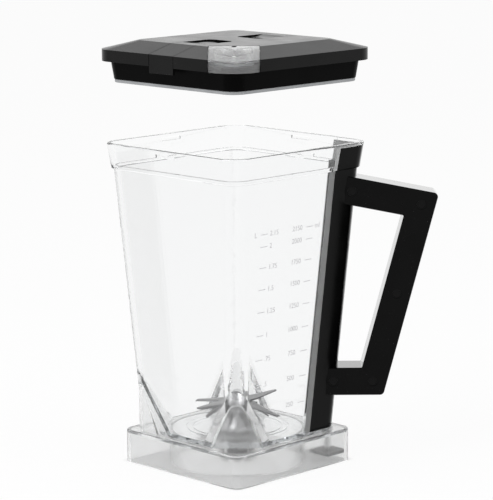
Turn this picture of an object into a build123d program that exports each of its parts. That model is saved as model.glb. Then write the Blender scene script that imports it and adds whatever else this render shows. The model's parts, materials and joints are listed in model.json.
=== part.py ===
from build123d import *
import os
from math import cos, radians, sin, sqrt, tan

# A square blender jar of clear plastic with a black handle on one corner, a blade
# unit in its floor and a black lid shown lifted off. Millimetres, +Z up. The origin
# is the middle of the face that the jar stands on. The walls face X and Y, and the
# handle stands on the +X +Y corner.

# Clear jar
JAR_HEIGHT = 252.0
SKIRT_SIDE = 127.8
SKIRT_HEIGHT = 25.5
SKIRT_CORNER = 9.0
SKIRT_WALL = 3.0
BODY_FOOT_SIDE = 112.4
BODY_TOP_SIDE = 140.6
BODY_CORNER = 14.0
BODY_WALL = 4.0
COLLAR_HEIGHT = 20.0
COLLAR_FOOT_SIDE = 144.4
COLLAR_TOP_SIDE = 149.2
COLLAR_CORNER = 16.0
COLLAR_WALL = 3.4
COLLAR_ROUND = 1.2
LEDGE_THICKNESS = 3.0
FLOOR_RISE = 2.5
FLOOR_THICKNESS = 5.5
FLOOR_RINGS = (38.5, 33.5)
FLOOR_RING_WIDTH = 1.2
FLOOR_RING_DEPTH = 0.8
EDGE_ROUND = 1.0
CATCH_WIDTH = 20.0
CATCH_HEIGHT = 2.5
CATCH_DEPTH = 0.8
CATCH_DROP = 4.5
RING_RADIUS = 52.0
RING_WALL = 2.5
RING_LIFT = 1.0

# Ramps and hollow columns in the lower corners
RAMP_REACH = 50.2
RAMP_HEIGHT = 44.0
RAMP_WALL = 2.6
COLUMN_SIDE = 116.8
COLUMN_WALL = 2.6
COLUMN_LEG = 2.0
COLUMN_ROOF = 10.2
COLUMN_HEIGHT = 43.5
COLUMN_HALF_WIDTH = 21.0
COLUMN_CROWN = 7.0

# Black corner post that carries the handle
POST_HALF_WIDTH = 25.0
POST_WING = 1.8
POST_DEPTH = 8.0
POST_LIFT = 2.0
POST_BACKING = 3.0
HEAD_WALL = 2.2
HEAD_DROP = 2.5
HEAD_STEP = 2.0
RAIL_WIDTH = 3.0
RAIL_HEIGHT = 1.0
SEAT_GAP = 0.1

# Handle, in two halves
HANDLE_REACH = 155.8
HANDLE_TOP = JAR_HEIGHT - 39.5
HANDLE_BOTTOM = 54.3
HANDLE_BAR = 21.8
HANDLE_HALF = 13.5
HANDLE_WALL = 2.5
GRIP_LEAN = 14.9
ARM_SLOPE = 11.2
OUTER_ROUND = 3.5
INNER_ROUND = 1.0
FACE_ROUND = 1.5

# Screws
SCREW_RADIUS = 1.6
SCREW_HEAD_RADIUS = 3.5
SCREW_HEAD = 2.2
SCREW_SINK = 3.0
SCREW_BITE = 9.0
SCREW_ROOM = 0.15
BOSS_RADIUS = 5.0
INNER_SCREW_SET = 2.6
FOOT_SCREW_REACH = 69.5
FOOT_SCREW_BITE = 14.0
FOOT_BOSS_RADIUS = 3.4
FOOT_PLATE_SIDE = 20.0
FOOT_PLATE_THICKNESS = 2.5
FOOT_PLATE_LIFT = 5.5

# Bearing unit in the floor
SHAFT_RADIUS = 4.0
BEARING_RADIUS = 11.0
BEARING_WIDTH = 7.0
BEARING_SPACING = 9.0
HOUSING_WALL = 4.0
HOUSING_LIP = 1.2
HOUSING_FLANGE_RADIUS = 18.5
HOUSING_FLANGE = 2.7
HOUSING_NOSE_RADIUS = 9.2
GASKET_THICKNESS = 1.3
SEAL_RADIUS = 8.0
SEAL_WIDTH = 3.5
CIRCLIP_THICKNESS = 1.0
CIRCLIP_BITE = 0.8
NUT_RADIUS = 21.0
NUT_HEIGHT = 7.0
RUN_GAP = 0.05
TURN_GAP = 0.6

# Blades and drive
BLADE_EYE_RADIUS = 9.0
BLADE_BEND_RADIUS = 13.0
LOW_BLADE_BEND_RADIUS = 10.0
BLADE_ROOT_WIDTH = 14.0
BLADE_TIP_WIDTH = 4.5
BLADE_THICKNESS = 1.2
BLADE_BEVEL = 3.0
BLADE_REACH = 41.0
LOW_BLADE_REACH = 27.0
HIGH_BLADE_BEND = 2.0
MIDDLE_BLADE_BEND = -10.0
LOW_BLADE_BEND = -38.0
HIGH_BLADE_TURN = 92.0
MIDDLE_BLADE_TURN = 5.0
LOW_BLADE_TURN = 50.0
TOOTH_COUNT = 8
TOOTH_START = 7.0
TOOTH_PITCH = 2.6
TOOTH_RADIUS = 0.9
WASHER_THICKNESS = 1.4
CAP_NUT_RADIUS = 7.0
CAP_NUT_HEIGHT = 7.0
SOCKET_RADIUS = 13.0
SOCKET_HEIGHT = 10.0
SOCKET_LIFT = 2.5
SOCKET_DEPTH = 6.0
SPLINE_COUNT = 12
SPLINE_ROOT = 10.2
SPLINE_TIP = 8.6
SPLINE_WIDTH = 2.4

# Lid, shown lifted off
LID_LIFT = 63.0
LID_OVERHANG = 2.4
LID_CORNER = 18.0
LID_RIM = 9.0
LID_RISE = 6.6
LID_SLOPE_WIDTH = 23.0
LID_CROWN_CORNER = 8.0
LID_WALL = 2.5
PLUG_DEPTH = 14.0
PLUG_GAP = 0.8
PLUG_WALL = 2.5
PLUG_FLANGE = 2.0
LID_GASKET = 2.5
LID_GASKET_WIDTH = 4.0
TRAY_FLOOR = 2.0
TRAY_WALL = 2.0
MOVE_GAP = 0.4

# Rocker latches on two sides of the lid
LATCH_WIDTH = 26.0
TONGUE_LENGTH = 54.0
DISH_RADIUS = 60.0
DISH_DEPTH = 1.2
DISH_REACH = 31.0
LATCH_SKIN = 2.5
LATCH_LEG = 5.0
LATCH_LEG_WALL = 2.0
LATCH_PIN_RADIUS = 1.5
LATCH_PIN_INSET = 11.0
LATCH_PIN_HEIGHT = 8.2
KNUCKLE_WALL = 1.3
FINGER_END = 13.0
FINGER_ROUND = 6.0
LATCH_TRAY_LIFT = 5.0
SPRING_THICKNESS = 0.6
SPRING_WIDTH = 8.0
SPRING_RUN = 12.0
SPRING_FOOT = 5.0

# Clear pouring cap on the front corner of the lid
SPOUT_WIDTH = 37.6
SPOUT_START = 55.0
SPOUT_SKIN = 2.2
SPOUT_PIN_RADIUS = 1.0
SPOUT_PIN_INSET = 3.0
SPOUT_PIN_DROP = 3.8
SPOUT_SWING_GAP = 2.3
SPOUT_TRAY_LIFT = 4.0
SPOUT_NOTCH_WIDTH = 3.2
SPOUT_NOTCH_REACH = 3.8
POUR_START = 64.5
POUR_END = 87.5
POUR_HALF_WIDTH = 11.5
POUR_ROUND = 1.5
POUR_SEAL_WIDTH = 2.6
POUR_SEAL = 1.2

# Heights worked out from the sizes above
FLOOR_TOP = SKIRT_HEIGHT + FLOOR_RISE
FLOOR_BOTTOM = FLOOR_TOP - FLOOR_THICKNESS
COLLAR_FOOT = JAR_HEIGHT - COLLAR_HEIGHT
LEDGE_TOP = COLLAR_FOOT + LEDGE_THICKNESS
POST_FOOT = SKIRT_HEIGHT + POST_LIFT
HEAD_FOOT = COLLAR_FOOT + HEAD_STEP
HEAD_TOP = JAR_HEIGHT - HEAD_DROP
LID_BASE = JAR_HEIGHT + LID_LIFT
LID_TOP = LID_BASE + LID_RIM + LID_RISE
LID_SIDE = COLLAR_TOP_SIDE + 2 * LID_OVERHANG
HEAD_SEAT = HANDLE_HALF - SCREW_SINK
PAST = 60.0


def body_side(z):
    """Side of the tapered body at height z."""
    share = (z - SKIRT_HEIGHT) / (COLLAR_FOOT - SKIRT_HEIGHT)
    return BODY_FOOT_SIDE + share * (BODY_TOP_SIDE - BODY_FOOT_SIDE)


def collar_side(z):
    """Side of the collar at height z."""
    share = (z - COLLAR_FOOT) / COLLAR_HEIGHT
    return COLLAR_FOOT_SIDE + share * (COLLAR_TOP_SIDE - COLLAR_FOOT_SIDE)


def corner_reach(side, corner):
    """Distance from the axis to the rounded corner of a square."""
    return side / sqrt(2) - corner * (sqrt(2) - 1)


def square_taper(side_at, corner, bottom, top, inset=0.0):
    """Rounded square that follows a tapering side, moved in by inset."""
    with BuildPart() as taper:
        for z in (bottom, top):
            side = side_at(z) - 2 * inset
            with BuildSketch(Plane.XY.offset(z)):
                RectangleRounded(side, side, corner - inset)
        loft(ruled=True)
    return taper.part


def corner_plane(turn):
    """Upright plane through the axis and a corner: x runs out to the corner, y up."""
    angle = radians(45 + turn)
    return Plane((0, 0, 0), (cos(angle), sin(angle), 0), (sin(angle), -cos(angle), 0))


def facing_plane(turn):
    """Upright plane across a corner: x runs sideways, y up, and it faces the corner."""
    angle = radians(45 + turn)
    return Plane((0, 0, 0), (-sin(angle), cos(angle), 0), (cos(angle), sin(angle), 0))


def diagonal_prism(turn, outline, half_width=PAST):
    """Prism across a corner from an outline of (reach, height) points."""
    with BuildPart() as prism:
        with BuildSketch(corner_plane(turn)):
            Polygon(*outline, align=None)
        extrude(amount=half_width, both=True)
    return prism.part


def past_flat(depth, bottom, top):
    """Everything further out than a flat set depth behind the body's handle corner."""
    low, high = [corner_reach(body_side(z), BODY_CORNER) - depth for z in (bottom, top)]
    return diagonal_prism(0, [(low, bottom), (high, top), (high + PAST, top), (low + PAST, bottom)])


# Hollow inside of the jar: tapered body, corner ramps, flat behind the post, collar
ramp_top_reach = corner_reach(body_side(FLOOR_TOP + RAMP_HEIGHT), BODY_CORNER) - BODY_WALL
ramp_run = ramp_top_reach - RAMP_REACH
ramp_far = (RAMP_REACH + 1.5 * ramp_run, FLOOR_TOP + 1.5 * RAMP_HEIGHT)
ramp_foot = (RAMP_REACH, FLOOR_TOP)
ramp_outline = [ramp_foot, ramp_far, (ramp_far[0] + PAST, ramp_far[1]), (ramp_far[0] + PAST, FLOOR_TOP)]
body_bore = square_taper(body_side, BODY_CORNER, FLOOR_TOP, LEDGE_TOP, BODY_WALL)
collar_bore = square_taper(collar_side, COLLAR_CORNER, LEDGE_TOP, JAR_HEIGHT + EDGE_ROUND, COLLAR_WALL)
bore_flat = past_flat(POST_DEPTH + POST_BACKING, FLOOR_TOP, LEDGE_TOP)
ramps = [diagonal_prism(turn, ramp_outline) for turn in (0, 90, 180, 270)]
with BuildPart() as jar_inside:
    add(body_bore)
    add(bore_flat, mode=Mode.SUBTRACT)
    add(ramps, mode=Mode.SUBTRACT)
    add(collar_bore)


def arch_column(leg, roof, wall):
    """Upright corner block with an arched outline, on the -X -Y corner, less its legs, roof and wall."""
    half = COLUMN_HALF_WIDTH - leg
    top = SKIRT_HEIGHT + COLUMN_HEIGHT - roof
    crown = COLUMN_CROWN - leg
    with BuildPart() as column:
        with BuildSketch(facing_plane(180)):
            with BuildLine():
                Polyline((-crown, top), (-half, FLOOR_BOTTOM), (half, FLOOR_BOTTOM), (crown, top))
                ThreePointArc((-crown, top), (0, top + 0.6 * crown), (crown, top))
            make_face()
        extrude(amount=2 * PAST)
        with BuildSketch(Plane.XY):
            side = COLUMN_SIDE - 2 * wall
            RectangleRounded(side, side, BODY_CORNER - wall)
        extrude(amount=JAR_HEIGHT, mode=Mode.INTERSECT)
    return column.part


# Hollow under a ramp, open below
ramp_lean = ramp_run / RAMP_HEIGHT
ramp_back = RAMP_REACH + RAMP_WALL * sqrt(1 + ramp_lean**2)
hollow_low = (ramp_back - FLOOR_THICKNESS * ramp_lean * 2, FLOOR_TOP - 2 * FLOOR_THICKNESS)
hollow_high = (ramp_back + 1.5 * ramp_run, FLOOR_TOP + 1.5 * RAMP_HEIGHT)
under_ramp = diagonal_prism(
    180, [hollow_low, hollow_high, (hollow_high[0] + PAST, hollow_high[1]), (hollow_high[0] + PAST, hollow_low[1])]
)
column = arch_column(0.0, 0.0, 0.0)
with BuildPart() as column_hollow:
    add(arch_column(COLUMN_LEG, COLUMN_ROOF, COLUMN_WALL))
    add(under_ramp, mode=Mode.INTERSECT)
FREE_CORNERS = (-90, 0, 90)


def corner_slab(half_width, bottom, top):
    """Block across the handle corner, from the axis outwards."""
    with BuildPart() as slab:
        with BuildSketch(facing_plane(0)):
            with Locations((0, (bottom + top) / 2)):
                Rectangle(2 * half_width, top - bottom)
        extrude(amount=HANDLE_REACH)
    return slab.part


def post_space(gap):
    """Room for the post and its head: a slab across the corner outside the recessed walls."""
    slab = corner_slab(POST_HALF_WIDTH + gap, POST_FOOT - gap, HEAD_TOP + gap)
    low_wall = square_taper(body_side, BODY_CORNER, 0, HEAD_FOOT + gap, POST_WING + gap)
    flat = past_flat(POST_DEPTH + gap, 0, HEAD_FOOT + gap)
    high_wall = square_taper(collar_side, COLLAR_CORNER, HEAD_FOOT + gap, JAR_HEIGHT, HEAD_WALL + gap)
    with BuildPart() as wall:
        add(low_wall)
        add(flat, mode=Mode.SUBTRACT)
        add(high_wall)
    with BuildPart() as space:
        add(slab)
        add(wall.part, mode=Mode.SUBTRACT)
    return space.part


body_outer = square_taper(body_side, BODY_CORNER, FLOOR_BOTTOM, COLLAR_FOOT)
collar_block = square_taper(collar_side, COLLAR_CORNER, COLLAR_FOOT, JAR_HEIGHT)
rail_outer = square_taper(body_side, BODY_CORNER, SKIRT_HEIGHT, COLLAR_FOOT, -RAIL_HEIGHT)
rail_slab = corner_slab(POST_HALF_WIDTH + RAIL_WIDTH, SKIRT_HEIGHT, COLLAR_FOOT)
foot_screw_point = FOOT_SCREW_REACH / sqrt(2)
FOOT_SCREW_AXIS = (foot_screw_point, foot_screw_point)

with BuildPart() as collar_outer:
    add(collar_block)
    fillet(collar_outer.edges().group_by(Axis.Z)[0], COLLAR_ROUND)
    fillet(collar_outer.edges().group_by(Axis.Z)[-1], COLLAR_ROUND)

with BuildPart() as rails:
    add(rail_outer)
    add(rail_slab, mode=Mode.INTERSECT)

with BuildPart() as skirt_inside:
    with BuildSketch():
        RectangleRounded(SKIRT_SIDE - 2 * SKIRT_WALL, SKIRT_SIDE - 2 * SKIRT_WALL, SKIRT_CORNER - SKIRT_WALL)
    extrude(amount=FLOOR_BOTTOM)
    with BuildSketch(Plane.XY.offset(RING_LIFT)):
        Circle(RING_RADIUS)
        Circle(RING_RADIUS - RING_WALL, mode=Mode.SUBTRACT)
    extrude(amount=FLOOR_BOTTOM, mode=Mode.SUBTRACT)
    with BuildSketch(Plane.XY.offset(FOOT_PLATE_LIFT + FOOT_PLATE_THICKNESS)):
        with Locations(FOOT_SCREW_AXIS):
            Circle(FOOT_BOSS_RADIUS)
    extrude(amount=FLOOR_BOTTOM, mode=Mode.SUBTRACT)

floor_hole_radius = BEARING_RADIUS + HOUSING_WALL + SEAT_GAP
recess = post_space(SEAT_GAP)

with BuildPart() as jar_body:
    with BuildSketch():
        RectangleRounded(SKIRT_SIDE, SKIRT_SIDE, SKIRT_CORNER)
    extrude(amount=SKIRT_HEIGHT)
    fillet(jar_body.faces().sort_by(Axis.Z)[-1].edges(), EDGE_ROUND)
    add(body_outer)
    add(rails.part)
    for turn in FREE_CORNERS:
        add(column.rotate(Axis.Z, turn))
    add(collar_outer.part)
    add(jar_inside.part, mode=Mode.SUBTRACT)
    add(skirt_inside.part, mode=Mode.SUBTRACT)
    for turn in FREE_CORNERS:
        add(column_hollow.part.rotate(Axis.Z, turn), mode=Mode.SUBTRACT)
    add(recess, mode=Mode.SUBTRACT)
    with BuildSketch(Plane.XY.offset(FLOOR_BOTTOM)):
        Circle(floor_hole_radius)
    extrude(amount=FLOOR_THICKNESS, mode=Mode.SUBTRACT)
    with BuildSketch(Plane.XY.offset(FLOOR_TOP)):
        for radius in FLOOR_RINGS:
            Circle(radius + FLOOR_RING_WIDTH / 2)
            Circle(radius - FLOOR_RING_WIDTH / 2, mode=Mode.SUBTRACT)
    extrude(amount=-FLOOR_RING_DEPTH, mode=Mode.SUBTRACT)
    with BuildSketch():
        with Locations(FOOT_SCREW_AXIS):
            Circle(SCREW_RADIUS + SCREW_ROOM)
    extrude(amount=POST_FOOT, mode=Mode.SUBTRACT)
    catch_height = JAR_HEIGHT - CATCH_DROP
    with Locations(Location((0, 0, catch_height))):
        with PolarLocations(collar_side(catch_height) / 2, 4):
            Box(2 * CATCH_DEPTH, CATCH_WIDTH, CATCH_HEIGHT, mode=Mode.SUBTRACT)

# Black post, flush with the jar's walls and collar
post_room = post_space(0.0)
handle_plane = corner_plane(0)
handle_axis = Axis((0, 0, 0), tuple(handle_plane.z_dir))


def grip_reach(z, inset):
    """Reach of the leaning grip's outer edge at height z, moved in by inset."""
    return HANDLE_REACH - (HANDLE_TOP - z) * tan(radians(GRIP_LEAN)) - inset / cos(radians(GRIP_LEAN))


def arm_height(reach, inset):
    """Height of the sloping upper arm's top edge, moved down by inset."""
    return HANDLE_TOP + (HANDLE_REACH - reach) * tan(radians(ARM_SLOPE)) - inset / cos(radians(ARM_SLOPE))


def handle_corner(inset):
    """Corner between grip and upper arm, moved in by inset from both edges."""
    grip, arm = tan(radians(GRIP_LEAN)), tan(radians(ARM_SLOPE))
    side, down = inset / cos(radians(GRIP_LEAN)), inset / cos(radians(ARM_SLOPE))
    back = (side + down * grip) / (1 + grip * arm)
    return HANDLE_REACH - back, HANDLE_TOP - down + back * arm


half_bar = HANDLE_BAR / 2
handle_root = body_side(HANDLE_BOTTOM) / sqrt(2) - HANDLE_HALF - HANDLE_WALL
low_middle = HANDLE_BOTTOM + half_bar
grip_middle = (handle_corner(half_bar)[1] + low_middle) / 2
arm_screw = corner_reach(body_side(HANDLE_TOP), BODY_CORNER) - INNER_SCREW_SET
low_screw = corner_reach(body_side(low_middle), BODY_CORNER) - INNER_SCREW_SET
HANDLE_SCREWS = [
    (arm_screw, arm_height(arm_screw, half_bar)),
    handle_corner(half_bar),
    (grip_reach(grip_middle, half_bar), grip_middle),
    (grip_reach(low_middle, half_bar), low_middle),
    (low_screw, low_middle),
]

with BuildPart() as handle_post:
    add(body_outer)
    add(collar_outer.part)
    add(post_room, mode=Mode.INTERSECT)
    with BuildSketch(Plane.XY.offset(POST_FOOT)):
        with Locations(FOOT_SCREW_AXIS):
            Circle(SCREW_RADIUS)
    extrude(amount=FOOT_SCREW_BITE, mode=Mode.SUBTRACT)
    with BuildSketch(handle_plane):
        with Locations(HANDLE_SCREWS[0], HANDLE_SCREWS[-1]):
            Circle(SCREW_RADIUS + SCREW_ROOM)
    extrude(amount=POST_HALF_WIDTH, both=True, mode=Mode.SUBTRACT)
    with BuildSketch(handle_plane.offset(HEAD_SEAT)):
        with Locations(HANDLE_SCREWS[0], HANDLE_SCREWS[-1]):
            Circle(SCREW_HEAD_RADIUS + SCREW_ROOM)
    extrude(amount=SCREW_SINK, mode=Mode.SUBTRACT)

with BuildPart() as foot_plate:
    with BuildSketch(Plane.XY.offset(FOOT_PLATE_LIFT)):
        with Locations(FOOT_SCREW_AXIS):
            RectangleRounded(FOOT_PLATE_SIDE, FOOT_PLATE_SIDE, EDGE_ROUND)
            Circle(SCREW_RADIUS + SCREW_ROOM, mode=Mode.SUBTRACT)
    extrude(amount=FOOT_PLATE_THICKNESS)

with BuildPart() as foot_screw:
    with BuildSketch(Plane.XY.offset(FOOT_PLATE_LIFT - SCREW_HEAD)):
        with Locations(FOOT_SCREW_AXIS):
            Circle(SCREW_HEAD_RADIUS)
    extrude(amount=SCREW_HEAD)
    with BuildSketch(Plane.XY.offset(FOOT_PLATE_LIFT)):
        with Locations(FOOT_SCREW_AXIS):
            Circle(SCREW_RADIUS - RUN_GAP)
    extrude(amount=POST_FOOT - FOOT_PLATE_LIFT + FOOT_SCREW_BITE - EDGE_ROUND)

# Handle halves: a C-shaped bar whose two arms end on the post
with BuildSketch() as handle_window:
    with BuildLine():
        Polyline(
            (handle_root, arm_height(handle_root, HANDLE_BAR)),
            handle_corner(HANDLE_BAR),
            (grip_reach(HANDLE_BOTTOM + HANDLE_BAR, HANDLE_BAR), HANDLE_BOTTOM + HANDLE_BAR),
            (handle_root, HANDLE_BOTTOM + HANDLE_BAR),
            close=True,
        )
    make_face()
    fillet(handle_window.vertices().sort_by(Axis.X)[-2:], INNER_ROUND)

with BuildSketch() as handle_shape:
    with BuildLine():
        Polyline(
            (handle_root, arm_height(handle_root, 0)),
            (HANDLE_REACH, HANDLE_TOP),
            (grip_reach(HANDLE_BOTTOM, 0), HANDLE_BOTTOM),
            (handle_root, HANDLE_BOTTOM),
            close=True,
        )
    make_face()
    fillet(handle_shape.vertices().sort_by(Axis.X)[-2:], OUTER_ROUND)
    add(handle_window.sketch, mode=Mode.SUBTRACT)

with BuildSketch() as handle_pocket:
    add(handle_shape.sketch)
    offset(amount=-HANDLE_WALL, kind=Kind.INTERSECTION, mode=Mode.REPLACE)
    with Locations(*HANDLE_SCREWS):
        Circle(BOSS_RADIUS, mode=Mode.SUBTRACT)

body_clearance = square_taper(body_side, BODY_CORNER, FLOOR_BOTTOM, COLLAR_FOOT, -SEAT_GAP)
collar_clearance = square_taper(collar_side, COLLAR_CORNER, COLLAR_FOOT, JAR_HEIGHT, -SEAT_GAP)
FRONT_CUTS = [(SCREW_RADIUS + SCREW_ROOM, 0, HANDLE_HALF), (SCREW_HEAD_RADIUS + SCREW_ROOM, HEAD_SEAT, HANDLE_HALF)]
BACK_CUTS = [(SCREW_RADIUS, 0, SCREW_BITE)]


def handle_half(side, cuts):
    """Hollow half of the handle on the +1 or -1 side of the split, with its screw holes."""
    with BuildPart() as half:
        with BuildSketch(handle_plane):
            add(handle_shape.sketch)
        extrude(amount=side * HANDLE_HALF)
        fillet(half.faces().sort_by(handle_axis)[-1 if side > 0 else 0].edges(), FACE_ROUND)
        add(body_clearance, mode=Mode.SUBTRACT)
        add(collar_clearance, mode=Mode.SUBTRACT)
        with BuildSketch(handle_plane):
            add(handle_pocket.sketch)
        extrude(amount=side * (HANDLE_HALF - HANDLE_WALL), mode=Mode.SUBTRACT)
        for radius, start, end in cuts:
            with BuildSketch(handle_plane.offset(side * start)):
                with Locations(*HANDLE_SCREWS):
                    Circle(radius)
            extrude(amount=side * (end - start), mode=Mode.SUBTRACT)
    return half


handle_half_front = handle_half(1, FRONT_CUTS)
handle_half_back = handle_half(-1, BACK_CUTS)

with BuildPart() as handle_screws:
    with BuildSketch(handle_plane.offset(HEAD_SEAT)):
        with Locations(*HANDLE_SCREWS):
            Circle(SCREW_HEAD_RADIUS)
    extrude(amount=SCREW_HEAD)
    with BuildSketch(handle_plane.offset(HEAD_SEAT)):
        with Locations(*HANDLE_SCREWS):
            Circle(SCREW_RADIUS - RUN_GAP)
    extrude(amount=-HEAD_SEAT - SCREW_BITE + EDGE_ROUND)

# Bearing unit, from the drive side up
housing_foot = SOCKET_LIFT + SOCKET_HEIGHT + TURN_GAP
circlip_foot = housing_foot + HOUSING_LIP
low_bearing_foot = circlip_foot + CIRCLIP_THICKNESS
spacer_foot = low_bearing_foot + BEARING_WIDTH
high_bearing_foot = spacer_foot + BEARING_SPACING
high_bearing_top = high_bearing_foot + BEARING_WIDTH
seal_foot = high_bearing_top + HOUSING_LIP
nose_top = seal_foot + SEAL_WIDTH
flange_foot = FLOOR_TOP + GASKET_THICKNESS
housing_bore = BEARING_RADIUS + RUN_GAP
housing_neck = BEARING_RADIUS + HOUSING_WALL


def ring(bottom, height, outer, inner):
    """Plain ring about the shaft's axis."""
    with BuildPart() as piece:
        with BuildSketch(Plane.XY.offset(bottom)):
            Circle(outer)
            Circle(inner, mode=Mode.SUBTRACT)
        extrude(amount=height)
    return piece


with BuildPart() as bearing_housing:
    with BuildSketch(Plane.XZ):
        with BuildLine():
            Polyline(
                (SEAL_RADIUS + RUN_GAP, nose_top),
                (HOUSING_NOSE_RADIUS, nose_top),
                (HOUSING_FLANGE_RADIUS, flange_foot + HOUSING_FLANGE),
                (HOUSING_FLANGE_RADIUS, flange_foot),
                (housing_neck, flange_foot),
                (housing_neck, housing_foot),
                (housing_bore, housing_foot),
                (housing_bore, circlip_foot),
                (housing_bore + CIRCLIP_BITE, circlip_foot),
                (housing_bore + CIRCLIP_BITE, low_bearing_foot),
                (housing_bore, low_bearing_foot),
                (housing_bore, high_bearing_top),
                (SEAL_RADIUS - EDGE_ROUND, high_bearing_top),
                (SEAL_RADIUS - EDGE_ROUND, seal_foot),
                (SEAL_RADIUS + RUN_GAP, seal_foot),
                close=True,
            )
        make_face()
    revolve(axis=Axis.Z)

floor_gasket = ring(FLOOR_TOP, GASKET_THICKNESS, HOUSING_FLANGE_RADIUS - EDGE_ROUND, floor_hole_radius)
lower_bearing = ring(low_bearing_foot, BEARING_WIDTH, BEARING_RADIUS, SHAFT_RADIUS + RUN_GAP)
upper_bearing = ring(high_bearing_foot, BEARING_WIDTH, BEARING_RADIUS, SHAFT_RADIUS + RUN_GAP)
bearing_spacer = ring(spacer_foot, BEARING_SPACING, BEARING_RADIUS, SEAL_RADIUS)
shaft_seal = ring(seal_foot, SEAL_WIDTH, SEAL_RADIUS, SHAFT_RADIUS + RUN_GAP)

with BuildPart() as bearing_circlip:
    with BuildSketch(Plane.XY.offset(circlip_foot)):
        Circle(housing_bore + CIRCLIP_BITE - RUN_GAP)
        Circle(SEAL_RADIUS, mode=Mode.SUBTRACT)
        with Locations((BEARING_RADIUS, 0)):
            Rectangle(BEARING_RADIUS, SHAFT_RADIUS, mode=Mode.SUBTRACT)
    extrude(amount=CIRCLIP_THICKNESS)

with BuildPart() as clamp_nut:
    with BuildSketch(Plane.XY.offset(FLOOR_BOTTOM - NUT_HEIGHT)):
        RegularPolygon(NUT_RADIUS, 6)
        Circle(floor_hole_radius, mode=Mode.SUBTRACT)
    extrude(amount=NUT_HEIGHT)

# Rotor: shaft, washer, three two-winged blades, cap nut and splined drive socket
washer_foot = nose_top + TURN_GAP
low_blade_foot = washer_foot + WASHER_THICKNESS
middle_blade_foot = low_blade_foot + BLADE_THICKNESS
high_blade_foot = middle_blade_foot + BLADE_THICKNESS
cap_nut_foot = high_blade_foot + BLADE_THICKNESS
shaft_foot = SOCKET_LIFT + SOCKET_DEPTH
shaft_top = cap_nut_foot + CAP_NUT_HEIGHT / 2
eye_hole = SHAFT_RADIUS + RUN_GAP


def blade(foot, turn, bend, bend_radius, reach, teeth=0):
    """Two bent wings on a flat eye, each with a bevelled edge, the first one toothed if teeth are asked for."""
    with BuildPart() as piece:
        with BuildSketch(Plane.XY.offset(foot)):
            Circle(BLADE_EYE_RADIUS)
            with Locations(Location((0, 0, 0), (0, 0, turn))):
                Rectangle(2 * bend_radius, BLADE_ROOT_WIDTH)
            Circle(eye_hole, mode=Mode.SUBTRACT)
        extrude(amount=BLADE_THICKNESS)
        for side, notches in ((turn, teeth), (turn + 180, 0)):
            radial = Vector(cos(radians(side)), sin(radians(side)), 0)
            across = Vector(-radial.Y, radial.X, 0)
            along = radial * cos(radians(bend)) + Vector(0, 0, sin(radians(bend)))
            normal = Vector(0, 0, cos(radians(bend))) - radial * sin(radians(bend))
            pivot = BLADE_THICKNESS if bend < 0 else 0.0
            root = radial * bend_radius + Vector(0, 0, foot + pivot) - normal * pivot
            for step, width in ((0, BLADE_ROOT_WIDTH), (reach - bend_radius, BLADE_TIP_WIDTH)):
                with BuildSketch(Plane(root + along * step, across, along)):
                    with BuildLine():
                        Polyline(
                            (-width / 2, 0),
                            (width / 2, 0),
                            (width / 2 - BLADE_BEVEL, BLADE_THICKNESS),
                            (-width / 2, BLADE_THICKNESS),
                            close=True,
                        )
                    make_face()
            loft(ruled=True)
            for notch in range(notches):
                step = TOOTH_START + notch * TOOTH_PITCH
                narrowing = (BLADE_ROOT_WIDTH - BLADE_TIP_WIDTH) * step / (reach - bend_radius)
                edge = root + along * step + across * (BLADE_ROOT_WIDTH - narrowing) / 2
                with BuildSketch(Plane(edge, along, normal)):
                    Circle(TOOTH_RADIUS)
                extrude(amount=BLADE_THICKNESS, mode=Mode.SUBTRACT)
    return piece


blade_lower = blade(low_blade_foot, LOW_BLADE_TURN, LOW_BLADE_BEND, LOW_BLADE_BEND_RADIUS, LOW_BLADE_REACH)
blade_middle = blade(middle_blade_foot, MIDDLE_BLADE_TURN, MIDDLE_BLADE_BEND, BLADE_BEND_RADIUS, BLADE_REACH)
blade_upper = blade(
    high_blade_foot, HIGH_BLADE_TURN, HIGH_BLADE_BEND, BLADE_BEND_RADIUS, BLADE_REACH, TOOTH_COUNT
)
blade_washer = ring(washer_foot, WASHER_THICKNESS, BLADE_EYE_RADIUS, eye_hole)

with BuildPart() as blade_shaft:
    with BuildSketch(Plane.XY.offset(shaft_foot)):
        Circle(SHAFT_RADIUS)
    extrude(amount=shaft_top - shaft_foot)

with BuildPart() as blade_cap_nut:
    with BuildSketch(Plane.XY.offset(cap_nut_foot)):
        RegularPolygon(CAP_NUT_RADIUS, 6)
    extrude(amount=CAP_NUT_HEIGHT)
    fillet(blade_cap_nut.faces().sort_by(Axis.Z)[-1].edges(), CAP_NUT_RADIUS / 3)
    with BuildSketch(Plane.XY.offset(cap_nut_foot)):
        Circle(eye_hole)
    extrude(amount=shaft_top - cap_nut_foot, mode=Mode.SUBTRACT)

with BuildPart() as drive_socket:
    with BuildSketch(Plane.XY.offset(SOCKET_LIFT)):
        Circle(SOCKET_RADIUS)
    extrude(amount=SOCKET_HEIGHT)
    with BuildSketch(Plane.XY.offset(SOCKET_LIFT)):
        Circle(SPLINE_TIP)
        with PolarLocations(SPLINE_TIP, SPLINE_COUNT):
            Rectangle(2 * (SPLINE_ROOT - SPLINE_TIP), SPLINE_WIDTH)
    extrude(amount=SOCKET_DEPTH, mode=Mode.SUBTRACT)
    with BuildSketch(Plane.XY.offset(shaft_foot)):
        Circle(eye_hole)
    extrude(amount=SOCKET_HEIGHT, mode=Mode.SUBTRACT)

# Lid
lid_half = LID_SIDE / 2
lid_slope = LID_RISE / LID_SLOPE_WIDTH
latch_tray_floor = LID_BASE + LATCH_TRAY_LIFT
spout_tray_floor = LID_BASE + SPOUT_TRAY_LIFT


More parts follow.
